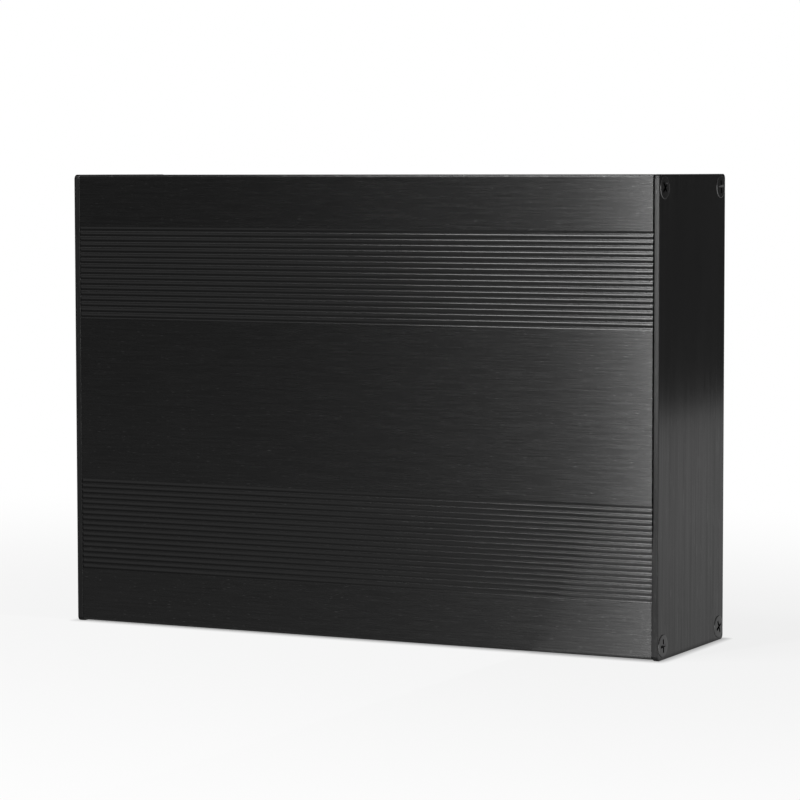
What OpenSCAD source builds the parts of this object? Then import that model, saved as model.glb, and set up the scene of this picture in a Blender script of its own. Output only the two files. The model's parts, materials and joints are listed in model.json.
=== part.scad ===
// Black aluminium project box, standing on one of its narrow long sides.
// The body is two identical extruded halves that lock together at mid-depth.
// A flat plate closes each end and is held by four countersunk screws.
// X runs along the box, Y from the front face to the rear face, Z up.
// The origin is under the middle of the box, on the surface that it stands on.

/* [Body] */
// Length of the extruded body, without its end plates
body_l = 200; // [60:1:400]
// Height of the broad front and rear faces
body_h = 145; // [120:1:240]
// Depth from the front face to the rear face
body_d = 54; // [40:1:120]
// Thickness of the broad front and rear walls
web_t = 2.4; // [1.6:0.1:4]
// Thickness of the narrow top and bottom walls
flange_t = 2; // [1.6:0.1:4]
// Radius of the body's four long outer edges
edge_r = 0.9; // [0.3:0.1:2]
// Colour of the anodised body and plates, as red, green and blue
anodised_colour = [0.14, 0.14, 0.15]; // [0:0.01:1]

/* [Flutes] */
// Number of flutes in each of a face's two bands
flute_count = 17; // [3:1:25]
// Distance from one flute to the next
flute_pitch = 1.75; // [1.4:0.05:2.5]
// Width of the land that is left between two flutes
flute_land = 0.25; // [0.1:0.05:0.8]
// Depth of a flute
flute_depth = 0.22; // [0.1:0.01:0.4]
// Distance from a face's long edge to the middle of the first flute
band_inset = 17.55; // [5:0.05:25]

/* [Seam between the halves] */
// Length of the tongue that reaches into the other half
tongue_l = 2; // [1:0.1:4]
// Thickness of the tongue
tongue_t = 0.95; // [0.6:0.05:1.2]
// Clearance between the halves, and around the tongue
seam_gap = 0.1; // [0.02:0.01:0.2]
// Size of the chamfers that make the seam's outer groove
seam_break = 0.3; // [0.1:0.05:0.5]

/* [Card rails] */
// Width of a slot that takes the edge of a circuit board
slot_w = 1.8; // [1.2:0.1:3]
// Depth of a slot
slot_depth = 2.6; // [1.5:0.1:4]
// Thickness of the rib on each side of a slot
rib_t = 1.2; // [0.8:0.1:2]
// Distance from the outer face to the middle of the first slot
rail_start = 10; // [8:0.1:14]
// Distance from one slot to the next
rail_pitch = 6.2; // [5:0.1:10]

/* [End plates] */
// Thickness of an end plate
plate_t = 2; // [1.2:0.1:5]
// Overhang of an end plate past the body's broad faces and its top
plate_overhang = 0.1; // [0:0.05:1]
// Overhang of an end plate below the body, for the box to stand on
plate_drop = 0.4; // [0:0.05:1]
// Radius of an end plate's corners
plate_r = 1.5; // [0.5:0.1:3]

/* [Screws] */
// Distance of a screw's axis from the body's outer faces
screw_inset = 3.9; // [3.6:0.1:8]
// Diameter of the head
head_d = 6.8; // [5:0.1:7.8]
// Height of the head's rim above the plate
rim_h = 0.2; // [0.1:0.05:1]
// Rise of the domed top above the rim
dome_h = 0.1; // [0.05:0.05:1]
// Diameter of the smooth neck under the head
neck_d = 3.5; // [3:0.1:4]
// Diameter of the shank, at the root of its thread
shank_d = 2.7; // [2:0.1:3]
// Length of a screw below the plate's outer face
screw_l = 9.5; // [6:0.5:20]
// Length of the pointed tip
tip_l = 2; // [1:0.1:4]
// Diameter of the flat end of the tip
tip_d = 0.6; // [0.3:0.1:1]
// Width across the cross recess at the top
recess_d = 4.4; // [3:0.1:5]
// Width across the cross recess at its floor
recess_floor_d = 1.6; // [0.8:0.1:2]
// Width of an arm of the cross recess
recess_arm = 0.85; // [0.5:0.05:1.2]
// Depth of the cross recess below the plate's outer face
recess_depth = 1.5; // [0.8:0.1:2]
// Turn of each right-hand screw: front low, rear low, front high, rear high
right_turns = [4, 28, 40, 8]; // [0:1:90]
// Turn of each left-hand screw, in the same order
left_turns = [33, 12, 57, 71]; // [0:1:90]
// Colour of the blackened screws, as red, green and blue
screw_colour = [0.09, 0.09, 0.1]; // [0:0.01:1]

/* [Screw seats and channels] */
// Clearance between a head's cone and its countersink, on the radius
seat_gap = 0.05; // [0.02:0.01:0.2]
// Clearance between a neck and the plate's hole, on the radius
hole_gap = 0.2; // [0.1:0.05:0.4]
// Thickness of the plate left below a countersink
seat_land = 0.35; // [0.2:0.05:1]
// Clearance between a shank and its channel, on the radius
channel_gap = 0.1; // [0.02:0.01:0.2]
// Wall of a screw channel round its bore
channel_wall = 1.6; // [1:0.1:2.5]
// Width of the slit that opens a screw channel to the inside
slit_w = 1.4; // [0.6:0.1:1.8]

/* [Hidden] */

// Enough sides for smooth round edges and holes
$fn = 48;
// Lets a cutter run past the surface that it cuts
over = 1;

plate_w = body_d + 2 * plate_overhang;
plate_h = body_h + plate_overhang + plate_drop;
// Height of a plate's middle above the middle of the body
plate_lift = (plate_overhang - plate_drop) / 2;

inner_d = body_d - 2 * web_t;
inner_h = body_h - 2 * flange_t;

// A flute is a shallow arc, so its cutter is a circle with its centre outside the face
flute_w = flute_pitch - flute_land;
flute_r = (flute_w * flute_w / 4 + flute_depth * flute_depth) / (2 * flute_depth);
flute_y = -body_d / 2 - flute_r + flute_depth;

// As many slots as fit between the first one and the seam
rail_half = slot_w / 2 + rib_t;
rail_room = body_d / 2 - tongue_l - 2 * seam_gap - rail_start - rail_half;
rail_count = max(0, floor(rail_room / rail_pitch) + 1);

screw_y = body_d / 2 - screw_inset;
screw_z = body_h / 2 - screw_inset;
// Places of the four screws on a plate: front low, rear low, front high, rear high
corners = [for (z = [-screw_z, screw_z]) for (y = [-screw_y, screw_y]) [y, z]];

bore_d = shank_d + 2 * channel_gap;
channel_d = bore_d + 2 * channel_wall;

// The head's cone has sides at 45 degrees and ends above the land, or at the neck on a thick plate
cone_h = min((head_d - neck_d) / 2, plate_t - seat_land);
cone_d = head_d - 2 * cone_h;
hole_d = cone_d + 2 * hole_gap;
dome_r = (head_d * head_d / 4 + dome_h * dome_h) / (2 * dome_h);

// Rectangle round the origin with circular corners
module rounded_rectangle(w, h, r) {
  square([w - 2 * r, h], center = true);
  square([w, h - 2 * r], center = true);
  for (x = [-1, 1], y = [-1, 1])
    translate([x * (w / 2 - r), y * (h / 2 - r)])
      circle(r);
}

// Sections are drawn with Y to the right and Z up, round the middle of the body

// Round bosses behind the two front corners, on the screws' axes
module channel_bosses() {
  for (z = [-screw_z, screw_z])
    translate([-screw_y, z])
      circle(d = channel_d);
}

// Bore of each screw channel, with the slit that opens it to the inside
module channel_bores() {
  for (side = [-1, 1])
    translate([-screw_y, side * screw_z]) {
      circle(d = bore_d);
      rotate(-45 * side)
        translate([0, -slit_w / 2])
          square([channel_d, slit_w]);
    }
}

// Pairs of ribs on both narrow walls, which hold the edges of a circuit board
module card_rails() {
  for (side = [-1, 1], i = [0 : 1 : rail_count - 1])
    translate([-body_d / 2 + rail_start + i * rail_pitch, side * inner_h / 2])
      for (edge = [-1, 1])
        translate([edge * (slot_w + rib_t) / 2, 0])
          square([rib_t, 2 * slot_depth], center = true);
}

// The hollow between the walls, less what stands in it
module cavity() {
  difference() {
    square([inner_d, inner_h], center = true);
    channel_bosses();
    card_rails();
  }
}

// Two bands of shallow arcs along the broad front face
module flutes() {
  for (side = [-1, 1], i = [0 : flute_count - 1])
    translate([flute_y, side * (body_h / 2 - band_inset - i * flute_pitch)])
      circle(flute_r);
}

// Everything behind the seam, and the chamfers on the seam's outer edges
module seam_cut() {
  translate([-seam_gap / 2, -body_h])
    square([body_d, 2 * body_h]);
  for (side = [-1, 1])
    translate([-seam_gap / 2, side * body_h / 2])
      rotate(45)
        square(seam_break * sqrt(2), center = true);
}

// Tongue on the inner side of the upper narrow wall
module tongue() {
  translate([-tongue_l, inner_h / 2])
    square([2 * tongue_l, tongue_t]);
}

// Rabbet in the lower narrow wall, which takes the other half's tongue
module rabbet() {
  translate([-tongue_l - seam_gap, -inner_h / 2 - tongue_t - seam_gap])
    square([tongue_l + over, tongue_t + seam_gap + over]);
}

module half_section() {
  difference() {
    rounded_rectangle(body_d, body_h, edge_r);
    cavity();
    channel_bores();
    flutes();
    seam_cut();
    rabbet();
  }
  tongue();
}

// Lifts what is drawn round the middle of the body onto its base
module on_base() {
  translate([0, 0, body_h / 2 + plate_drop])
    children();
}

// Turns a section to stand across the box, and extrudes it along the box
module along_box(length) {
  rotate([90, 0, 90])
    linear_extrude(length, center = true)
      children();
}

module half_body() {
  along_box(body_l)
    half_section();
}

// Clearance hole and countersink, with the plate's outer face at height 0
module screw_hole() {
  translate([0, 0, -plate_t - over])
    cylinder(d = hole_d, h = plate_t + 2 * over);
  translate([0, 0, -cone_h])
    cylinder(d1 = cone_d + 2 * seat_gap, d2 = head_d + 2 * seat_gap, h = cone_h);
}

// Moves from the middle of the body to a screw's place on the end at side -1 or 1
module at_screw(side, place) {
  translate([side * (body_l / 2 + plate_t), place[0], place[1]])
    rotate([0, side * 90, 0])
      children();
}

module end_plate(side) {
  difference() {
    translate([side * (body_l + plate_t) / 2, 0, plate_lift])
      along_box(plate_t)
        rounded_rectangle(plate_w, plate_h, plate_r);
    for (place = corners)
      at_screw(side, place)
        screw_hole();
  }
}

// Low dome on a straight rim
module head_top() {
  intersection() {
    cylinder(d = head_d, h = rim_h + dome_h);
    translate([0, 0, rim_h + dome_h - dome_r])
      sphere(dome_r, $fn = 96);
  }
}

// Four arms whose outer ends slope in towards the floor
module cross_recess() {
  recess_h = recess_depth + rim_h + dome_h;
  intersection() {
    translate([0, 0, -recess_depth])
      cylinder(d1 = recess_floor_d, d2 = recess_d, h = recess_h);
    for (turn = [0, 90])
      rotate(turn)
        cube([recess_d, recess_arm, 2 * recess_h], center = true);
  }
}

// One screw, pointing down, with the plate's outer face at height 0
module screw(turn) {
  difference() {
    union() {
      head_top();
      translate([0, 0, -cone_h])
        cylinder(d1 = cone_d, d2 = head_d, h = cone_h);
      translate([0, 0, seat_gap - plate_t])
        cylinder(d = neck_d, h = plate_t - seat_gap);
      translate([0, 0, tip_l - screw_l])
        cylinder(d = shank_d, h = screw_l - tip_l);
      translate([0, 0, -screw_l])
        cylinder(d1 = tip_d, d2 = shank_d, h = tip_l);
    }
    rotate(turn)
      cross_recess();
  }
}

module plate_screws(side, turns) {
  for (i = [0 : len(corners) - 1])
    at_screw(side, corners[i])
      screw(turns[i]);
}

module front_shell() {
  color(anodised_colour)
    on_base()
      half_body();
}

// The same extrusion, turned half a turn about the box's long axis
module rear_shell() {
  color(anodised_colour)
    on_base()
      rotate([180, 0, 0])
        half_body();
}

module left_end_plate() {
  color(anodised_colour)
    on_base()
      end_plate(-1);
}

module right_end_plate() {
  color(anodised_colour)
    on_base()
      end_plate(1);
}

module left_plate_screws() {
  color(screw_colour)
    on_base()
      plate_screws(-1, left_turns);
}

module right_plate_screws() {
  color(screw_colour)
    on_base()
      plate_screws(1, right_turns);
}

front_shell();
rear_shell();
left_end_plate();
right_end_plate();
left_plate_screws();
right_plate_screws();
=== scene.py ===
# %% [markdown]
# A black aluminium project box
#
# This lesson dresses a measured model of an aluminium box for electronics. The measured parts are
# already the right size and in the right place, so the work here is what a finisher does after the
# machining: break the sharp edges, brush and dye the metal, and drive the screws home.
# The frame is loaded first, and its overall box is kept, which gives the table the box's footprint.

# %% Load the measured frame
import json
import math

import bpy
from mathutils import Matrix, Quaternion, Vector

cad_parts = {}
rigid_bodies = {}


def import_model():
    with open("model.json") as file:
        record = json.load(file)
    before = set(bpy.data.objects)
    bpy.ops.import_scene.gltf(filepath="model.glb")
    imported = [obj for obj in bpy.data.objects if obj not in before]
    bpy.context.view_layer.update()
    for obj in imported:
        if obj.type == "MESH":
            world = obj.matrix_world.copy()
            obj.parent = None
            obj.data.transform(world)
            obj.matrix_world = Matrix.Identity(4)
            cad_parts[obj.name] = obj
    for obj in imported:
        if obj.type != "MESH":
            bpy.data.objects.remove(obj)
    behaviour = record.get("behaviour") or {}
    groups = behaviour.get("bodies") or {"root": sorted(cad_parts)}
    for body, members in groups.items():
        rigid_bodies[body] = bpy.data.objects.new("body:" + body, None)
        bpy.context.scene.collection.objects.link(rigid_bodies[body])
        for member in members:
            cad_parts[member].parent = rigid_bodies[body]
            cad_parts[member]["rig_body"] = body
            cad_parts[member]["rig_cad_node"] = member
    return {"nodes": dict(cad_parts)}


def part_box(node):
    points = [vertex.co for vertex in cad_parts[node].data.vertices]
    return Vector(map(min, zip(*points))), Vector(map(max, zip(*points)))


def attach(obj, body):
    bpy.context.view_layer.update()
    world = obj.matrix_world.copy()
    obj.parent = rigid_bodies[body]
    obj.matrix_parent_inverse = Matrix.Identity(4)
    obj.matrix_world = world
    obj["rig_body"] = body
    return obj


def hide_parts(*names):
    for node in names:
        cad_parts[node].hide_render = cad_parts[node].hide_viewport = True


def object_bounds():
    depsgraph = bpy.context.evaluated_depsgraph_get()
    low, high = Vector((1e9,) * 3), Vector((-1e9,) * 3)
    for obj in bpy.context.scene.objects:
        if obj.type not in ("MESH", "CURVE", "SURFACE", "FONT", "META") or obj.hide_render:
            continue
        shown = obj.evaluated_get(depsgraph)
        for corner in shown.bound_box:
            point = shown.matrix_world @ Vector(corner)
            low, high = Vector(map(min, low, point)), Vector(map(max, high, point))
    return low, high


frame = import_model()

cad_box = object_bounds()
MM = 0.001
print("frame holds", sorted(frame["nodes"]))
print("overall box in mm", [round((b - a) / MM, 2) for a, b in zip(*cad_box)])

# %% [markdown]
# The camera
#
# A long lens a metre away sees the broad front face, the right-hand end plate, and almost nothing of
# the top. Where the camera stands could be typed in as a point, but an aim with a compass angle, a
# height angle and a distance is easier to read and to adjust. The lens follows from how many pixels a
# metre covers at a distance of one metre.

# %% Camera
IMAGE_SIDE = 800
SENSOR = 36.0
FOCAL_PIXELS = 3223.0
AIM = Vector((5.9, -7.0, 74.3)) * MM
COMPASS = math.radians(26.64)
HEIGHT_ANGLE = math.radians(4.09)
ROLL = math.radians(-0.09)
DISTANCE = 1019.0 * MM

toward_camera = Vector((
    math.sin(COMPASS) * math.cos(HEIGHT_ANGLE),
    -math.cos(COMPASS) * math.cos(HEIGHT_ANGLE),
    math.sin(HEIGHT_ANGLE),
))
lens = bpy.data.cameras.new("product_lens")
lens.sensor_width = SENSOR
lens.lens = FOCAL_PIXELS / IMAGE_SIDE * SENSOR
camera = bpy.data.objects.new("product_camera", lens)
bpy.context.scene.collection.objects.link(camera)
camera.rotation_mode = "QUATERNION"
camera.location = AIM + toward_camera * DISTANCE
camera.rotation_quaternion = (
    (-toward_camera).to_track_quat("-Z", "Y").to_matrix() @ Matrix.Rotation(ROLL, 3, "Z")
).to_quaternion()
bpy.context.scene.camera = camera
bpy.context.scene.view_settings.view_transform = "Standard"
print("camera at", [round(c, 3) for c in camera.location], "lens", round(lens.lens, 1), "mm")

# %% [markdown]
# Node helpers
#
# Every finish below is a small tree of shader nodes. Four helpers keep those trees short: one adds a
# node and sets its inputs, one joins two sockets, one starts a material with an empty tree, and one
# writes a grey as a colour. A mix node has a set of sockets for each kind of value, all with the same
# names, so they are picked by number, and the numbers get names here.

# %% Node helpers
MIX_SHARE = 0
VALUE_A, VALUE_B, VALUE_OUT = 2, 3, 0
COLOUR_A, COLOUR_B, COLOUR_OUT = 6, 7, 2


def add_node(tree, kind, inputs=None, **settings):
    node = tree.nodes.new(kind)
    for name, value in settings.items():
        setattr(node, name, value)
    for name, value in (inputs or {}).items():
        node.inputs[name].default_value = value
    return node


def join(tree, source, target):
    tree.links.new(source, target)


def start_material(name):
    material = bpy.data.materials.new(name)
    material.use_nodes = True
    material.node_tree.nodes.clear()
    return material, material.node_tree


def grey(value):
    return (value, value, value, 1.0)


print("node helpers ready")

# %% [markdown]
# The table and the room
#
# The box stands on a white table in a bright studio. A plain white disc would do for the table, but its
# far edge would show as a line against the room. So the disc mixes a grey paper, which takes the real
# light and the soft shadow, with a white glow, and fades to the white of the room farther out. Right at
# the footprint the glow drops low, so a narrow band of the grey paper shows round the box: painted
# contact shade on top of the real shadow. The fade follows the distance from the box's footprint: the
# part of each coordinate that lies beyond the footprint's half size. It is shown to camera rays and to
# mirror rays alike, so that the metal reflects the same table as the eye sees.

# %% Table
TABLE_RADIUS = 1.05
TABLE_SIDES = 96
# The paper is grey and the first stops keep the white glow low right at the footprint, so a narrow band
# round the box is darker: painted contact shade on top of the paper's real shadow.
PAPER_GREY = 0.55
FADE_REACH = 0.40
CONTACT_SHADE_AND_FADE_STOPS = ((0.0, 0.40), (0.008, 0.84), (1.0, 1.0))
HALFWAY = 0.5
FOOT = (cad_box[1].x, cad_box[1].y, 0.0)


def table_material():
    material, tree = start_material("white_table")
    place = add_node(tree, "ShaderNodeTexCoord")
    mirror = add_node(tree, "ShaderNodeVectorMath", operation="ABSOLUTE")
    beyond = add_node(tree, "ShaderNodeVectorMath", {1: FOOT}, operation="SUBTRACT")
    outside = add_node(tree, "ShaderNodeVectorMath", {1: (0, 0, 0)}, operation="MAXIMUM")
    distance = add_node(tree, "ShaderNodeVectorMath", operation="LENGTH")
    reach = add_node(tree, "ShaderNodeMapRange", {"From Min": 0.0, "From Max": FADE_REACH})
    # This ramp holds the painted contact shade next to the box and the fade to white farther out.
    fade = add_node(tree, "ShaderNodeValToRGB")
    fade.color_ramp.interpolation = "EASE"
    while len(fade.color_ramp.elements) < len(CONTACT_SHADE_AND_FADE_STOPS):
        fade.color_ramp.elements.new(HALFWAY)
    for stop, (position, share_of_white) in zip(fade.color_ramp.elements, CONTACT_SHADE_AND_FADE_STOPS):
        stop.position = position
        stop.color = grey(share_of_white)
    path = add_node(tree, "ShaderNodeLightPath")
    seen = add_node(tree, "ShaderNodeMath", operation="MAXIMUM")
    mirrored = add_node(tree, "ShaderNodeMath", operation="MAXIMUM")
    share = add_node(tree, "ShaderNodeMath", operation="MULTIPLY")
    paper = add_node(tree, "ShaderNodeBsdfDiffuse", {"Color": grey(PAPER_GREY)})
    glow = add_node(tree, "ShaderNodeEmission", {"Color": grey(1.0), "Strength": 1.0})
    mix = add_node(tree, "ShaderNodeMixShader")
    out = add_node(tree, "ShaderNodeOutputMaterial")
    join(tree, place.outputs["Object"], mirror.inputs[0])
    join(tree, mirror.outputs[0], beyond.inputs[0])
    join(tree, beyond.outputs[0], outside.inputs[0])
    join(tree, outside.outputs[0], distance.inputs[0])
    join(tree, distance.outputs["Value"], reach.inputs["Value"])
    join(tree, reach.outputs["Result"], fade.inputs["Fac"])
    join(tree, path.outputs["Is Camera Ray"], seen.inputs[0])
    join(tree, path.outputs["Is Glossy Ray"], seen.inputs[1])
    join(tree, seen.outputs[0], mirrored.inputs[0])
    join(tree, path.outputs["Is Transmission Ray"], mirrored.inputs[1])
    join(tree, mirrored.outputs[0], share.inputs[0])
    join(tree, fade.outputs["Color"], share.inputs[1])
    join(tree, share.outputs[0], mix.inputs["Fac"])
    join(tree, paper.outputs[0], mix.inputs[1])
    join(tree, glow.outputs[0], mix.inputs[2])
    join(tree, mix.outputs[0], out.inputs["Surface"])
    return material


bpy.ops.object.select_all(action="DESELECT")
bpy.ops.mesh.primitive_circle_add(
    vertices=TABLE_SIDES, radius=TABLE_RADIUS, fill_type="NGON", location=(0, 0, 0),
)
table = bpy.context.object
table.name = "studio_table"
table.data.materials.append(table_material())
print("table of radius", TABLE_RADIUS, "m, white from", FADE_REACH, "m beyond the box")

# %% [markdown]
# The room's light
#
# The room is white around the horizon, as a paper backdrop is, and greyer overhead. A gradient on the
# height of each direction does that with no picture of a room.

# %% Room
ROOM_LOW = 0.10
ROOM_HIGH = 0.45
ROOM_TOP = 0.30

world = bpy.data.worlds.new("white_room")
bpy.context.scene.world = world
world.use_nodes = True
world.node_tree.nodes.clear()
room = world.node_tree
direction = add_node(room, "ShaderNodeTexCoord")
split = add_node(room, "ShaderNodeSeparateXYZ")
rise = add_node(room, "ShaderNodeMapRange", {
    "From Min": ROOM_LOW, "From Max": ROOM_HIGH, "To Min": 1.0, "To Max": ROOM_TOP,
}, interpolation_type="SMOOTHSTEP")
sky = add_node(room, "ShaderNodeBackground", {"Color": grey(1.0)})
room_out = add_node(room, "ShaderNodeOutputWorld")
join(room, direction.outputs["Generated"], split.inputs[0])
join(room, split.outputs["Z"], rise.inputs["Value"])
join(room, rise.outputs["Result"], sky.inputs["Strength"])
join(room, sky.outputs[0], room_out.inputs["Surface"])
print("room is 1.0 at the horizon and", ROOM_TOP, "overhead")

# %% [markdown]
# Softboxes
#
# Dark brushed metal shows its surroundings more than its own colour, so it is lit by what it reflects.
# A tall strip light stands beyond the camera on the left and leans a little. The right end of the front
# face mirrors its edge, and the tone falls off along the face from there. One softbox hangs overhead
# where the lower lips of the flutes mirror it. A second hangs nearer the box, for the round along the
# top edge, and a dim panel on the left stands for light that a ceiling sends back. Each lamp is set by
# its radiance, the brightness that a mirror would show, and its energy follows from its area.

# %% Softboxes
CEILING = 1.20
STRIP_X = -0.385
STRIP_MIDDLE = 0.67


def softbox(name, centre, aim, width, height, radiance, lean=0.0):
    """Sets up a lamp that faces its aim. The lean, in degrees, turns it about the line to the aim."""
    lamp = bpy.data.lights.new(name, "AREA")
    lamp.shape = "RECTANGLE"
    lamp.size = width
    lamp.size_y = height
    lamp.energy = radiance * math.pi * width * height
    light = bpy.data.objects.new(name, lamp)
    bpy.context.scene.collection.objects.link(light)
    light.location = centre
    light.rotation_mode = "QUATERNION"
    facing = (Vector(aim) - Vector(centre)).to_track_quat("-Z", "Y")
    light.rotation_quaternion = facing @ Quaternion((0, 0, 1), math.radians(lean))
    light.visible_camera = False
    print(name, "radiance", radiance, "energy", round(lamp.energy, 1))


def hang_softbox(name, x, y, width, depth, radiance):
    """Hangs a softbox at the ceiling's height, facing straight down."""
    softbox(name, (x, y, CEILING), (x, y, 0.0), width, depth, radiance)


softbox(
    "strip_light", centre=(STRIP_X, -1.40, STRIP_MIDDLE), aim=(STRIP_X, 0.0, STRIP_MIDDLE),
    width=0.12, height=1.30, radiance=32.0, lean=4.0,
)
hang_softbox("overhead_softbox", x=-0.415, y=-0.865, width=0.45, depth=0.33, radiance=8.5)
hang_softbox("top_softbox", x=-0.39, y=-0.405, width=0.45, depth=0.25, radiance=12.5)
hang_softbox("ceiling_bounce", x=-0.87, y=-0.50, width=0.50, depth=0.80, radiance=0.45)

# %% [markdown]
# Grey cards
#
# Cards around a shiny thing keep the white room out of its reflections where the metal should go deep.
# Two stand on the left. One stands behind on the right, and its foot draws the level line across the
# end plate. Two lie on the table in front, where the front face mirrors them. Painted cards would pick
# up stray light, so each has a plain tone of its own instead. Only the metal sees the cards: they are
# hidden from the camera and throw no shadow.

# %% Grey cards
LEFT_CARD_GREY = 0.13
REAR_CARD_GREY = 0.17
NEAR_CARD_GREY = 0.38
FAR_CARD_GREY = 0.17
CARD_LIFT = 0.15 * MM
FLAT = (0, 0, 0)


def card_material(name, shade):
    material, tree = start_material(name)
    tone = add_node(tree, "ShaderNodeEmission", {"Color": grey(shade), "Strength": 1.0})
    out = add_node(tree, "ShaderNodeOutputMaterial")
    join(tree, tone.outputs[0], out.inputs["Surface"])
    return material


def place_card(name, centre, turn, size, shade):
    bpy.ops.object.select_all(action="DESELECT")
    bpy.ops.mesh.primitive_plane_add(size=1.0, location=centre, rotation=turn)
    card = bpy.context.object
    card.name = name
    card.scale = (*size, 1.0)
    card.data.materials.append(card_material(name + "_tone", shade))
    card.visible_camera = False
    card.visible_shadow = False
    print(name, "measures", size, "m")


def stand_card(name, foot, facing, size, shade):
    """Stands a card on the table plane with its lower edge centred on foot, turned to face a point."""
    away = (Vector(facing) - Vector(foot)).normalized()
    heading = math.atan2(away.y, away.x)
    upright = (math.pi / 2, 0, heading + math.pi / 2)
    place_card(name, (foot[0], foot[1], size[1] / 2), upright, size, shade)


stand_card(
    "left_card", foot=(-0.47, -0.44, 0), facing=(0.03, 0.30, 0),
    size=(0.75, 0.45), shade=LEFT_CARD_GREY,
)
stand_card(
    "rear_right_card", foot=(0.465, 1.50, 0), facing=(0, 1.50, 0),
    size=(3.0, 0.8), shade=REAR_CARD_GREY,
)
stand_card(
    "side_card", foot=(-0.60, 0.05, 0), facing=(0, 0.05, 0),
    size=(1.3, 0.45), shade=LEFT_CARD_GREY,
)
place_card(
    "near_card", centre=(-0.47, -0.213, CARD_LIFT), turn=FLAT,
    size=(1.06, 0.374), shade=NEAR_CARD_GREY,
)
place_card(
    "far_card", centre=(-0.47, -0.740, CARD_LIFT), turn=FLAT,
    size=(1.06, 0.680), shade=FAR_CARD_GREY,
)

# %% [markdown]
# Brush marks
#
# Both the shells and the plates were brushed with an abrasive belt before they were dyed black. Each
# grain leaves a fine line, long in the direction of brushing and a fraction of a millimetre wide.
# A picture of brushed metal could be wrapped round the pieces, but stretched noise follows every
# surface by itself and never repeats. The group puts out two things: streaks, which vary everywhere,
# and flecks, the few short nicks where bare metal shows through the dye.

# %% Brush mark group
COARSE_NOISE = {"Scale": 1.0, "Detail": 3.0, "Roughness": 0.65}
FINE_NOISE = {"Scale": 1.0, "Detail": 2.0, "Roughness": 0.6}
NICK_NOISE = {"Scale": 1.0, "Detail": 0.0}
FINE_SHARE = 0.5
FINE_MARKS = (2.5, 2.2, 2.2)
SHORT_MARKS = (13.0, 2.2, 2.2)
STREAK_RANGE = (0.36, 0.64)
FLECK_RANGE = (0.745, 0.805)


def brush_marks_group():
    group = bpy.data.node_groups.new("brush_marks", "ShaderNodeTree")
    group.interface.new_socket("Vector", in_out="INPUT", socket_type="NodeSocketVector")
    group.interface.new_socket("Streaks", in_out="OUTPUT", socket_type="NodeSocketFloat")
    group.interface.new_socket("Flecks", in_out="OUTPUT", socket_type="NodeSocketFloat")
    entry = add_node(group, "NodeGroupInput")
    leave = add_node(group, "NodeGroupOutput")
    coarse = add_node(group, "ShaderNodeTexNoise", COARSE_NOISE)
    finer = add_node(group, "ShaderNodeVectorMath", {1: FINE_MARKS}, operation="MULTIPLY")
    fine = add_node(group, "ShaderNodeTexNoise", FINE_NOISE)
    blend = add_node(group, "ShaderNodeMix", {MIX_SHARE: FINE_SHARE})
    spread = add_node(group, "ShaderNodeMapRange", {
        "From Min": STREAK_RANGE[0], "From Max": STREAK_RANGE[1],
    })
    shorter = add_node(group, "ShaderNodeVectorMath", {1: SHORT_MARKS}, operation="MULTIPLY")
    nick = add_node(group, "ShaderNodeTexNoise", NICK_NOISE)
    fleck = add_node(group, "ShaderNodeMapRange", {
        "From Min": FLECK_RANGE[0], "From Max": FLECK_RANGE[1],
    })
    join(group, entry.outputs["Vector"], coarse.inputs["Vector"])
    join(group, entry.outputs["Vector"], finer.inputs[0])
    join(group, finer.outputs[0], fine.inputs["Vector"])
    join(group, coarse.outputs["Fac"], blend.inputs[VALUE_A])
    join(group, fine.outputs["Fac"], blend.inputs[VALUE_B])
    join(group, blend.outputs[VALUE_OUT], spread.inputs["Value"])
    join(group, spread.outputs["Result"], leave.inputs["Streaks"])
    join(group, entry.outputs["Vector"], shorter.inputs[0])
    join(group, shorter.outputs[0], nick.inputs["Vector"])
    join(group, nick.outputs["Fac"], fleck.inputs["Value"])
    join(group, fleck.outputs["Result"], leave.inputs["Flecks"])
    return group


brush_marks = brush_marks_group()
print("brush mark group has", len(brush_marks.nodes), "nodes")

# %% [markdown]
# Black anodised aluminium
#
# The dye leaves a metal that returns only a few hundredths of the light that falls on it, a little
# more at a glancing angle. Fine parallel scratches spread a reflection across the lines and keep it
# sharp along them, which is what the shader's anisotropy is for. It needs a direction on the surface,
# so each brushed piece gets a UV map laid square to the box, and a tangent node reads it. The same
# function makes four finishes: brushed along the box, brushed upright, left as extruded, which is how
# the flutes look, and merely tumbled, which is how the cut edge of a plate looks.

# %% Anodised finish
BRUSH_UV = "brushing"
BRUSHED_DYE = (grey(0.041), grey(0.057), grey(0.115))
EXTRUDED_DYE = (grey(0.054), grey(0.058), grey(0.062))
SHEET_DYE = (grey(0.031), grey(0.067), grey(0.085))
CUT_EDGE_DYE = (grey(0.025), grey(0.034), grey(0.05))
EDGE_SHARE = grey(0.64)
BELT_MARK = (24 * MM, 0.60 * MM)
SHEET_MARK = (90 * MM, 0.70 * MM)
DIE_MARK = (60 * MM, 1.80 * MM)
UNTURNED, QUARTER_TURN = 0.0, 0.25
RIDGE_STRENGTH = 0.35
RIDGE_HEIGHT = 0.004 * MM


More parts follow.
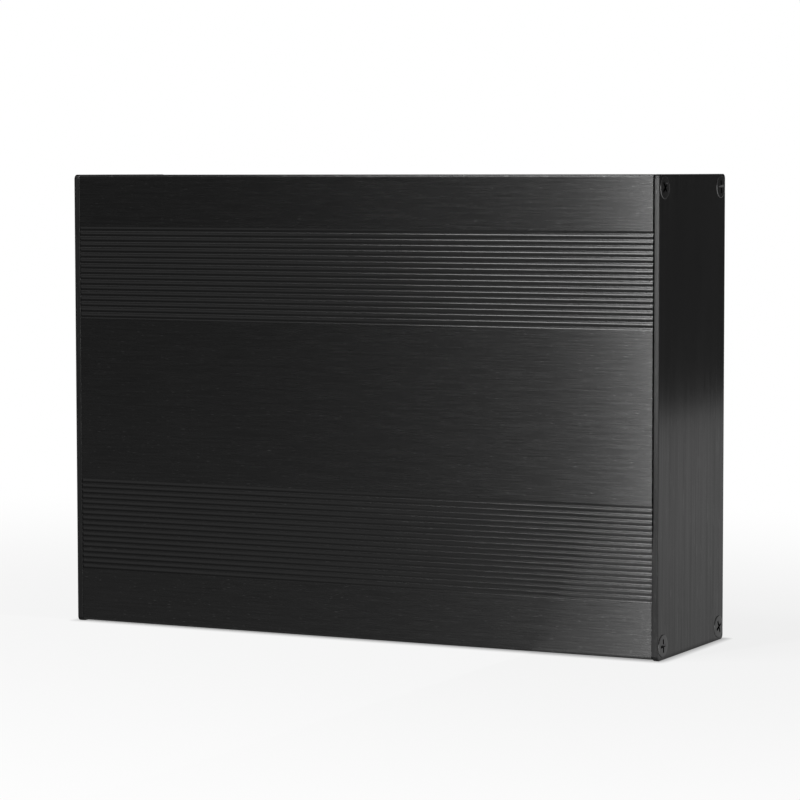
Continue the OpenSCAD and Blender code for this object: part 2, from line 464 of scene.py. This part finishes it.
def anodised_material(name, upright, mark, turn, stretched, gloss_range, dye_range):
    """Brushed along X, or along Z if upright. The dyes are for deep streaks, pale streaks and nicks."""
    material, tree = start_material(name)
    deep, pale, bare = dye_range
    long, wide = 1 / mark[0], 1 / mark[1]
    place = add_node(tree, "ShaderNodeTexCoord")
    stretch = add_node(tree, "ShaderNodeMapping", {
        "Scale": (wide, wide, long) if upright else (long, wide, wide),
        "Rotation": (0, math.pi / 2 if upright else 0, 0),
    })
    marks = add_node(tree, "ShaderNodeGroup", node_tree=brush_marks)
    dye = add_node(tree, "ShaderNodeMix", {COLOUR_A: deep, COLOUR_B: pale}, data_type="RGBA")
    colour = add_node(tree, "ShaderNodeMix", {COLOUR_B: bare}, data_type="RGBA")
    gloss = add_node(tree, "ShaderNodeMapRange", {"To Min": gloss_range[0], "To Max": gloss_range[1]})
    ridge = add_node(tree, "ShaderNodeBump", {"Strength": RIDGE_STRENGTH, "Distance": RIDGE_HEIGHT})
    lay = add_node(tree, "ShaderNodeTangent", direction_type="UV_MAP", uv_map=BRUSH_UV)
    metal = add_node(tree, "ShaderNodeBsdfPrincipled", {
        "Metallic": 1.0, "Specular Tint": EDGE_SHARE,
        "Anisotropic": stretched, "Anisotropic Rotation": turn,
    })
    out = add_node(tree, "ShaderNodeOutputMaterial")
    join(tree, place.outputs["Object"], stretch.inputs["Vector"])
    join(tree, stretch.outputs[0], marks.inputs["Vector"])
    join(tree, marks.outputs["Streaks"], dye.inputs[MIX_SHARE])
    join(tree, dye.outputs[COLOUR_OUT], colour.inputs[COLOUR_A])
    join(tree, marks.outputs["Flecks"], colour.inputs[MIX_SHARE])
    join(tree, colour.outputs[COLOUR_OUT], metal.inputs["Base Color"])
    join(tree, marks.outputs["Streaks"], gloss.inputs["Value"])
    join(tree, gloss.outputs["Result"], metal.inputs["Roughness"])
    join(tree, marks.outputs["Streaks"], ridge.inputs["Height"])
    join(tree, ridge.outputs[0], metal.inputs["Normal"])
    join(tree, lay.outputs[0], metal.inputs["Tangent"])
    join(tree, metal.outputs[0], out.inputs["Surface"])
    return material


shell_finish = anodised_material(
    "anodised_brushed_along", upright=False, mark=BELT_MARK, turn=QUARTER_TURN, stretched=1.0,
    gloss_range=(0.25, 0.285), dye_range=BRUSHED_DYE,
)
plate_finish = anodised_material(
    "anodised_brushed_upright", upright=True, mark=SHEET_MARK, turn=UNTURNED, stretched=0.6,
    gloss_range=(0.12, 0.15), dye_range=SHEET_DYE,
)
rim_finish = anodised_material(
    "anodised_tumbled", upright=True, mark=BELT_MARK, turn=UNTURNED, stretched=0.0,
    gloss_range=(0.29, 0.34), dye_range=CUT_EDGE_DYE,
)
flute_finish = anodised_material(
    "anodised_as_extruded", upright=False, mark=DIE_MARK, turn=QUARTER_TURN, stretched=0.6,
    gloss_range=(0.153, 0.163), dye_range=EXTRUDED_DYE,
)
print("four anodised finishes made")

# %% [markdown]
# Blackened screws
#
# The screws are hardened steel with a thin black coating. They are smoother than the brushed parts, so
# they take a plain dark metal with a faint cloud in its colour and gloss. Round the rim of each head a
# paler steel colour is painted on as a highlight, for the bright arc of the rounded rim. A value stored
# on the mesh says where, and the finish shows paler there.

# %% Screw finish
# The paler steel on each head's rim is a painted highlight for the bright arc on the rounded rim, not
# wear.
RIM_HIGHLIGHT = "rim_painted_highlight"
COATING = (grey(0.060), grey(0.085))
RIM_HIGHLIGHT_GREY = grey(0.60)
COATING_GLOSS = (0.10, 0.17)
CLOUD_NOISE = {"Scale": 900.0, "Detail": 3.0, "Roughness": 0.6}


def screw_material():
    material, tree = start_material("blackened_steel")
    place = add_node(tree, "ShaderNodeTexCoord")
    cloud = add_node(tree, "ShaderNodeTexNoise", CLOUD_NOISE)
    # This stored value places the painted rim highlight.
    rim_highlight = add_node(tree, "ShaderNodeAttribute", attribute_name=RIM_HIGHLIGHT)
    black = add_node(tree, "ShaderNodeMix", {COLOUR_A: COATING[0], COLOUR_B: COATING[1]}, data_type="RGBA")
    colour = add_node(tree, "ShaderNodeMix", {COLOUR_B: RIM_HIGHLIGHT_GREY}, data_type="RGBA")
    gloss = add_node(tree, "ShaderNodeMapRange", {"To Min": COATING_GLOSS[0], "To Max": COATING_GLOSS[1]})
    metal = add_node(tree, "ShaderNodeBsdfPrincipled", {"Metallic": 1.0, "Specular Tint": EDGE_SHARE})
    out = add_node(tree, "ShaderNodeOutputMaterial")
    join(tree, place.outputs["Object"], cloud.inputs["Vector"])
    join(tree, cloud.outputs["Fac"], black.inputs[MIX_SHARE])
    join(tree, black.outputs[COLOUR_OUT], colour.inputs[COLOUR_A])
    join(tree, rim_highlight.outputs["Fac"], colour.inputs[MIX_SHARE])
    join(tree, colour.outputs[COLOUR_OUT], metal.inputs["Base Color"])
    join(tree, cloud.outputs["Fac"], gloss.inputs["Value"])
    join(tree, gloss.outputs["Result"], metal.inputs["Roughness"])
    join(tree, metal.outputs[0], out.inputs["Surface"])
    return material


screw_finish = screw_material()
print("screw finish made")

# %% [markdown]
# Working on a copy
#
# The measured meshes stay untouched. Each piece below starts as a copy of one of them: its loose
# triangles are merged, and flat areas are dissolved back to single faces, so that edges can be picked
# and broken as on the real part.

# %% Copying a measured part
SAME_POINT = 0.001 * MM
FLAT_ANGLE = math.radians(0.5)


def select_only(piece):
    bpy.ops.object.select_all(action="DESELECT")
    bpy.context.view_layer.objects.active = piece
    piece.select_set(True)


def copy_of(node, name):
    piece = frame["nodes"][node].copy()
    piece.data = piece.data.copy()
    piece.name = name
    piece.parent = None
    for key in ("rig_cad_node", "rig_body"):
        if key in piece:
            del piece[key]
    bpy.context.scene.collection.objects.link(piece)
    select_only(piece)
    bpy.ops.object.mode_set(mode="EDIT")
    bpy.ops.mesh.select_all(action="SELECT")
    bpy.ops.mesh.remove_doubles(threshold=SAME_POINT)
    bpy.ops.mesh.dissolve_limited(angle_limit=FLAT_ANGLE)
    bpy.ops.mesh.select_all(action="DESELECT")
    bpy.ops.object.mode_set(mode="OBJECT")
    return piece


def select_where(piece, test, kind="VERT"):
    """Selects the vertices, or the edges, whose place passes the test, and enters edit mode."""
    bpy.ops.object.mode_set(mode="EDIT")
    bpy.ops.mesh.select_mode(type=kind)
    bpy.ops.mesh.select_all(action="DESELECT")
    bpy.ops.object.mode_set(mode="OBJECT")
    places = [v.co for v in piece.data.vertices]
    chosen = 0
    for item in piece.data.vertices if kind == "VERT" else piece.data.edges:
        ends = [item.co] if kind == "VERT" else [places[i] for i in item.vertices]
        item.select = test(*ends)
        chosen += item.select
    bpy.ops.object.mode_set(mode="EDIT")
    return chosen


def finish_piece(piece, material, body, node):
    piece.data.materials.clear()
    piece.data.materials.append(material)
    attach(piece, body)
    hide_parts(node)
    print(piece.name, "has", len(piece.data.polygons), "faces")


print("copy helpers ready")

# %% [markdown]
# Brushing direction and shading
#
# Two more helpers serve both the shells and the plates. One lays the UV map that gives the brush marks
# their direction. The other smooths what is rounded and weights the normals by area, so that broad
# flats stay flat right up to their rounded edges.

# %% Brushing direction and shading
UV_CUBE = 0.1


def lay_brush_uv(piece):
    bpy.ops.object.mode_set(mode="EDIT")
    bpy.ops.mesh.select_all(action="SELECT")
    bpy.ops.uv.cube_project(cube_size=UV_CUBE)
    bpy.ops.object.mode_set(mode="OBJECT")
    piece.data.uv_layers.active.name = BRUSH_UV


def smooth_and_weight(piece, angle):
    select_only(piece)
    bpy.ops.mesh.customdata_custom_splitnormals_clear()
    bpy.ops.object.shade_smooth_by_angle(angle=angle)
    weigh = piece.modifiers.new("even_flats", "WEIGHTED_NORMAL")
    weigh.keep_sharp = True
    bpy.ops.object.modifier_apply(modifier=weigh.name)


print("shading helpers ready")

# %% [markdown]
# The two half shells
#
# A half shell is one extrusion, so all its edges run the length of the box. Three things are done to
# the copy. The last fraction of a millimetre at each end is drawn in, as a deburring wheel leaves it,
# and more so on the right, where it gives the dark line beside the end plate. The wheel was lifted near
# the bottom, so the line fades out there. The normals are then weighted, with an angle small enough to
# keep the lips between the flutes crisp. Last, the flutes get the as-extruded finish, because a belt
# can't reach into them.

# %% Half shells
LIP_ANGLE = math.radians(12)
FLUTE_REACH = 0.5 * MM
LEFT_END_BREAK = 0.05 * MM
RIGHT_END_BREAK = 0.22 * MM
BREAK_LENGTH = 0.5
BREAK_SHARES = ((0.0, 0.25), (35.0 * MM, 0.60), (41.0 * MM, 1.0))
END_FACING = 0.1
SKIN = 0.92 * MM
TINY = 0.01 * MM


def shift_where(piece, test, move):
    select_where(piece, test)
    bpy.ops.transform.translate(value=move)


def draw_in_end(piece, box, outward, end, size):
    """Draws one end in by size, with a share of it on the broad face that grows with the height."""
    low, high = box
    face_y = low.y if outward < 0 else high.y
    tops = [start for start, share in BREAK_SHARES[1:]] + [high.z + TINY]
    inward = math.copysign(BREAK_LENGTH * size, -end)

    def at_end(p):
        return abs(p.x - end) < TINY

    def on_face(p):
        return at_end(p) and abs(p.y - face_y) < SKIN

    bpy.ops.object.mode_set(mode="EDIT")
    bpy.ops.mesh.select_all(action="SELECT")
    bpy.ops.mesh.bisect(plane_co=(end + inward, 0, 0), plane_no=(1, 0, 0), threshold=SAME_POINT)
    for (start, share), top in zip(BREAK_SHARES, tops):
        move = (0, -outward * share * size, 0)
        shift_where(piece, lambda p: on_face(p) and start <= p.z < top, move)
    shift_where(piece, lambda p: at_end(p) and p.z > high.z - SKIN, (0, 0, -size))
    shift_where(piece, lambda p: at_end(p) and p.z < low.z + SKIN, (0, 0, size))
    bpy.ops.object.mode_set(mode="OBJECT")


def half_shell(node, name, outward):
    piece = copy_of(node, name)
    low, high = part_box(node)
    face_y = low.y if outward < 0 else high.y
    for end, size in ((low.x, LEFT_END_BREAK), (high.x, RIGHT_END_BREAK)):
        draw_in_end(piece, (low, high), outward, end, size)
    lay_brush_uv(piece)
    smooth_and_weight(piece, LIP_ANGLE)
    finish_piece(piece, shell_finish, "root", node)
    piece.data.materials.append(flute_finish)
    for face in piece.data.polygons:
        depth = abs(face.center.y - face_y)
        between = low.z + SKIN < face.center.z < high.z - SKIN
        lengthwise = abs(face.normal.x) < END_FACING
        face.material_index = int(between and lengthwise and TINY < depth < FLUTE_REACH)


half_shell("front_shell", "front_shell_brushed", -1)
half_shell("rear_shell", "rear_shell_brushed", 1)

# %% [markdown]
# The end plates
#
# An end plate is cut from 2 mm sheet and tumbled, so its outline has a small round on both faces. On
# the right-hand plate the inner round is wider, which deepens the dark line beside the body. Towards
# the bottom it is drawn back to its edge, so that the line fades out. The edges to break are those of
# the outline alone: the countersunk holes stay crisp under the screws. The rim keeps the tumbled
# finish, and the faces are brushed.

# %% End plates
LEFT_PLATE_BREAKS = (0.15 * MM, 0.15 * MM)
RIGHT_PLATE_BREAKS = (0.55 * MM, 0.22 * MM)
RIM_SEGMENTS = 4
FADE_HEIGHTS = (33.0 * MM, 41.0 * MM)
FADE_SHARE = 0.3
STRAIGHT_FROM = 1.4 * MM
PLATE_CORNER = 1.6 * MM
RIM_FACING = 0.40
ROUND_ANGLE = math.radians(35)


def fade_front_round(piece, low, inner_x, size):
    """Draws the round on the inner front edge back to that edge, over the fade heights and below them."""
    bpy.ops.object.mode_set(mode="EDIT")
    for height in FADE_HEIGHTS:
        bpy.ops.mesh.select_all(action="SELECT")
        bpy.ops.mesh.bisect(plane_co=(0, 0, height), plane_no=(0, 0, 1), threshold=SAME_POINT)

    def on_low_round(p):
        near_edge = p.y - low.y < size + TINY and abs(p.x - inner_x) < size + TINY
        return near_edge and STRAIGHT_FROM < p.z - low.z and p.z < FADE_HEIGHTS[0] + TINY

    chosen = select_where(piece, on_low_round)
    bpy.ops.transform.resize(value=(FADE_SHARE, FADE_SHARE, 1), center_override=(inner_x, low.y, 0))
    bpy.ops.object.mode_set(mode="OBJECT")
    print(piece.name, "has a smaller round at", chosen, "points")


def end_plate(node, name, rim_breaks):
    """Rounds the plate's outline, with one size for its inner face and one for its outer face."""
    piece = copy_of(node, name)
    low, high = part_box(node)
    inner_x, outer_x = sorted((low.x, high.x), key=abs)
    inner_break, outer_break = rim_breaks

    def insets(p):
        return min(p.y - low.y, high.y - p.y), min(p.z - low.z, high.z - p.z)

    def on_outline(p):
        return max(insets(p)) < PLATE_CORNER or min(insets(p)) < TINY

    for face_x, rim_break in ((inner_x, inner_break), (outer_x, outer_break)):
        rim = select_where(
            piece, lambda *ends: all(abs(p.x - face_x) < TINY and on_outline(p) for p in ends), "EDGE",
        )
        bpy.ops.mesh.bevel(offset=rim_break, segments=RIM_SEGMENTS, affect="EDGES", clamp_overlap=True)
        print(name, "broke", rim, "rim edges by", round(rim_break / MM, 2), "mm")
    bpy.ops.object.mode_set(mode="OBJECT")
    if inner_break > outer_break:
        fade_front_round(piece, low, inner_x, inner_break)
    lay_brush_uv(piece)
    smooth_and_weight(piece, ROUND_ANGLE)
    finish_piece(piece, plate_finish, "root", node)
    piece.data.materials.append(rim_finish)
    for face in piece.data.polygons:
        facing_out = face.normal.x * math.copysign(1, outer_x)
        face.material_index = int(facing_out < RIM_FACING and min(insets(face.center)) < PLATE_CORNER)


end_plate("left_end_plate", "left_end_plate_brushed", LEFT_PLATE_BREAKS)
end_plate("right_end_plate", "right_end_plate_brushed", RIGHT_PLATE_BREAKS)

# %% [markdown]
# The screws
#
# Each plate is held by four countersunk screws with a cross recess. A screw is turned on a lathe, so it
# could be drawn as half a profile and spun. Here it is pulled up from a small disc instead, ring by
# ring, because the profile can then be read as a list: height above the plate's outer face, and radius.
# The head stands a hair above the plate, and its rim is rounded so that it catches the light. Lengths
# in the list are in millimetres.

# %% Turning one screw
SIDES = 64
HEAD_RADIUS = 3.4
RIM_HEIGHT = 0.20
DOME_RISE = 0.05
RIM_ROUND = 0.10
RIM_ROUND_SEGMENTS = 3
RIM_BAND = 0.1
SHANK_RINGS = ((-7.5, 1.35), (-1.95, 1.35), (-1.95, 1.75), (-1.65, 1.75), (0.0, HEAD_RADIUS))
TIP_HEIGHT, TIP_RADIUS = -9.5, 0.30
DOME_RADII = (2.9, 2.3, 1.6, 0.8)


def dome_height(radius):
    ball = (HEAD_RADIUS ** 2 + DOME_RISE ** 2) / (2 * DOME_RISE)
    return RIM_HEIGHT + DOME_RISE - ball + math.sqrt(ball ** 2 - radius ** 2)


def at_head_rim(p):
    return abs(p.z - RIM_HEIGHT * MM) < TINY and p.xy.length > (HEAD_RADIUS - RIM_BAND) * MM


def turned_screw(name):
    bpy.ops.object.select_all(action="DESELECT")
    bpy.ops.mesh.primitive_circle_add(
        vertices=SIDES, radius=TIP_RADIUS * MM, fill_type="NGON", location=(0, 0, TIP_HEIGHT * MM),
    )
    screw = bpy.context.object
    screw.name = name
    bpy.ops.object.transform_apply(location=True, rotation=True, scale=True)
    rings = list(SHANK_RINGS) + [(RIM_HEIGHT, HEAD_RADIUS)]
    rings += [(dome_height(radius), radius) for radius in DOME_RADII]
    height, radius = TIP_HEIGHT, TIP_RADIUS
    bpy.ops.object.mode_set(mode="EDIT")
    bpy.ops.mesh.select_mode(type="FACE")
    bpy.ops.mesh.select_all(action="SELECT")
    for next_height, next_radius in rings:
        rise = (next_height - height) * MM
        bpy.ops.mesh.extrude_region_move(TRANSFORM_OT_translate={"value": (0, 0, rise)})
        grow = next_radius / radius
        bpy.ops.transform.resize(value=(grow, grow, 1), center_override=(0, 0, next_height * MM))
        height, radius = next_height, next_radius
    bpy.ops.mesh.select_all(action="SELECT")
    bpy.ops.mesh.remove_doubles(threshold=TINY)
    bpy.ops.mesh.normals_make_consistent(inside=False)
    select_where(screw, lambda a, b: at_head_rim(a) and at_head_rim(b), "EDGE")
    bpy.ops.mesh.bevel(offset=RIM_ROUND * MM, segments=RIM_ROUND_SEGMENTS, affect="EDGES")
    bpy.ops.object.mode_set(mode="OBJECT")
    print(name, "turned with", len(rings), "rings")
    return screw


one_screw = turned_screw("pattern_screw")

# %% [markdown]
# The recess
#
# A cross recess is pressed into the head with a tapered punch. The same is done here: one bar, narrower
# at its lower end, is cut out of the head, turned a quarter, and cut out again. Then the value for the
# painted rim highlight is written: one on the outermost ring of the head, and nothing elsewhere.

# %% Pressing the recess
RECESS_DEPTH = 1.5
RECESS_TOP = 0.6
RECESS_ARM = 0.85
RECESS_FLOOR = 1.6
RECESS_WIDTH = 4.63
HIGHLIGHT_BAND = 0.01


def press_recess(screw):
    bpy.ops.object.select_all(action="DESELECT")
    bpy.ops.mesh.primitive_cube_add(size=1.0, location=(0, 0, (RECESS_TOP - RECESS_DEPTH) / 2 * MM))
    punch = bpy.context.object
    punch.scale = Vector((RECESS_FLOOR, RECESS_ARM, RECESS_TOP + RECESS_DEPTH)) * MM
    bpy.ops.object.transform_apply(location=True, rotation=True, scale=True)
    select_where(punch, lambda p: p.z > 0)
    bpy.ops.transform.resize(value=(RECESS_WIDTH / RECESS_FLOOR, 1, 1), center_override=(0, 0, 0))
    bpy.ops.object.mode_set(mode="OBJECT")
    for quarter in (0, math.pi / 2):
        punch.rotation_euler.z = quarter
        cut = screw.modifiers.new("recess", "BOOLEAN")
        cut.operation = "DIFFERENCE"
        cut.object = punch
        bpy.context.view_layer.objects.active = screw
        bpy.ops.object.modifier_apply(modifier=cut.name)
    bpy.data.objects.remove(punch, do_unlink=True)
    # Mark the outermost ring of each head for the painted rim highlight.
    highlight_values = screw.data.attributes.new(RIM_HIGHLIGHT, "FLOAT", "POINT")
    for vertex, mark in zip(screw.data.vertices, highlight_values.data):
        mark.value = float(vertex.co.xy.length > (HEAD_RADIUS - HIGHLIGHT_BAND) * MM)
    print(screw.name, "has", len(screw.data.polygons), "faces after pressing")


press_recess(one_screw)

# %% [markdown]
# Driving the screws
#
# Every screw stopped where its thread did, so no two recesses stand at the same angle. The pattern is
# copied to each corner with its own mesh and its own turn, and the four on a plate become one piece.
# Turns are in degrees, for the two lower corners and then the two upper ones.

# %% Driving the screws
RIGHT_TURNS = (4, 28, 40, 8)
LEFT_TURNS = (33, 12, 57, 71)


def drive_screws(node, name, side, turns):
    plate_low, plate_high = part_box("right_end_plate" if side > 0 else "left_end_plate")
    outer_x = plate_high.x if side > 0 else plate_low.x
    box_low, box_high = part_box(node)
    axis_y = box_high.y - HEAD_RADIUS * MM
    heights = (box_low.z + HEAD_RADIUS * MM, box_high.z - HEAD_RADIUS * MM)
    corners = [(y, z) for z in heights for y in (-axis_y, axis_y)]
    driven = []
    for (y, z), turn in zip(corners, turns):
        screw = one_screw.copy()
        screw.data = one_screw.data.copy()
        bpy.context.scene.collection.objects.link(screw)
        screw.matrix_world = (
            Matrix.Translation((outer_x, y, z))
            @ Matrix.Rotation(side * math.pi / 2, 4, "Y")
            @ Matrix.Rotation(math.radians(turn), 4, "Z")
        )
        driven.append(screw)
    bpy.ops.object.select_all(action="DESELECT")
    for screw in driven:
        screw.select_set(True)
    piece = driven[0]
    bpy.context.view_layer.objects.active = piece
    bpy.ops.object.transform_apply(location=True, rotation=True, scale=True)
    bpy.ops.object.join()
    piece.name = name
    bpy.ops.object.shade_smooth_by_angle(angle=ROUND_ANGLE)
    finish_piece(piece, screw_finish, "root", node)


drive_screws("left_plate_screws", "left_plate_screws_turned", -1, LEFT_TURNS)
drive_screws("right_plate_screws", "right_plate_screws_turned", 1, RIGHT_TURNS)
bpy.data.objects.remove(one_screw, do_unlink=True)
